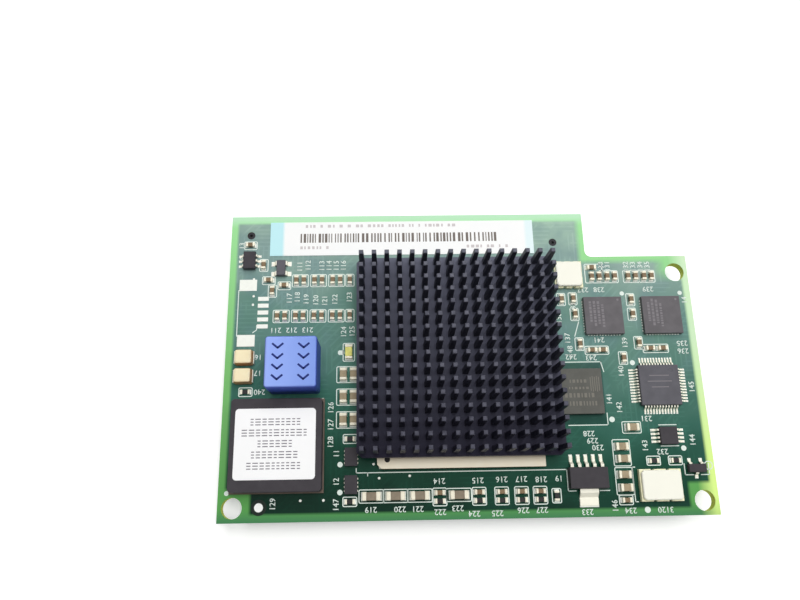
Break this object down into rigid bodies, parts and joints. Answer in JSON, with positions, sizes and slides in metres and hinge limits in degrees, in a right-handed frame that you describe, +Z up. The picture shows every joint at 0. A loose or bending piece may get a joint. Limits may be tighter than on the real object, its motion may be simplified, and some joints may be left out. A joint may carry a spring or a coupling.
{
  "type": "fibre channel expansion card",
  "caption": "Mezzanine network card: a notched green circuit board with a black pin-fin heat sink, a power module, a blue press pad and a board connector underneath.",
  "frame": {"origin": "middle of the board's outline, at the mating face of the connector underneath", "axes": "+X along the board's long side, +Y towards the notched rear edge, +Z up out of the component side"},
  "size_m": [0.083, 0.054, 0.016],
  "materials": {
    "board_laminate": "green solder mask over glass laminate, semi-gloss",
    "black_anodised": "black anodised, satin",
    "thermal_film": "soft grey thermal pad",
    "cream_laminate": "cream package laminate, satin",
    "nickel_lid": "nickel plated, satin",
    "solder": "tin solder, satin",
    "tinned_lead": "tin plated leads and tabs",
    "black_mould": "black moulding compound, fine grain",
    "grey_mould": "dark grey moulding compound, fine grain",
    "module_laminate": "module base laminate",
    "white_label": "white label paper with grey print",
    "board_label": "white label with pale blue ends and grey bars",
    "blue_rubber": "firm blue rubber, smooth",
    "white_ceramic": "white oscillator ceramic",
    "oscillator_lid": "pale plated metal lid, satin",
    "capacitor_ceramic": "tan capacitor ceramic",
    "ferrite": "grey-brown ferrite",
    "resistor_ceramic": "black resistor coating",
    "tantalum_mould": "cream-yellow tantalum capacitor moulding",
    "light_body": "pale yellow lens",
    "connector_plastic": "black connector moulding",
    "gold_contact": "gold plated contacts"
  },
  "bodies": {
    "root": {"circuit_board": "board_laminate", "heat_sink": "black_anodised", "thermal_pad": "thermal_film", "controller_lid": "nickel_lid", "controller_substrate": "cream_laminate", "controller_solder_balls": "solder", "power_module_base": "module_laminate", "power_module_cap": "black_mould", "power_module_label": "white_label", "press_pad": "blue_rubber", "board_label": "board_label", "flash_solder_balls": "solder", "flash_body": "grey_mould", "transceiver_pads": "solder", "transceiver_bodies": "grey_mould", "switch_terminals": "tinned_lead", "switch_bodies": "black_mould", "microcontroller_body": "grey_mould", "microcontroller_leads": "tinned_lead", "comparator_body": "black_mould", "comparator_leads": "tinned_lead", "supervisor_body": "black_mould", "supervisor_leads": "tinned_lead", "reset_chip_body": "grey_mould", "reset_chip_leads": "tinned_lead", "transistor_body": "black_mould", "transistor_leads": "tinned_lead", "regulator_body": "black_mould", "regulator_leads": "tinned_lead", "regulator_tab": "tinned_lead", "large_oscillator_base": "white_ceramic", "large_oscillator_lid": "oscillator_lid", "small_oscillator_base": "white_ceramic", "small_oscillator_lid": "oscillator_lid", "tantalum_bodies": "tantalum_mould", "tantalum_terminals": "tinned_lead", "coupling_capacitor_bodies": "capacitor_ceramic", "coupling_capacitor_end_caps": "tinned_lead", "bypass_capacitor_bodies": "capacitor_ceramic", "bypass_capacitor_end_caps": "tinned_lead", "bulk_capacitor_bodies": "capacitor_ceramic", "bulk_capacitor_end_caps": "tinned_lead", "underside_capacitor_bodies": "capacitor_ceramic", "underside_capacitor_end_caps": "tinned_lead", "ferrite_bodies": "ferrite", "ferrite_end_caps": "tinned_lead", "resistor_bodies": "resistor_ceramic", "resistor_end_caps": "tinned_lead", "status_light_bodies": "light_body", "status_light_end_caps": "tinned_lead", "tinned_pads": "solder", "connector_housing": "connector_plastic", "connector_contacts": "gold_contact"}
  },
  "joints": []
}
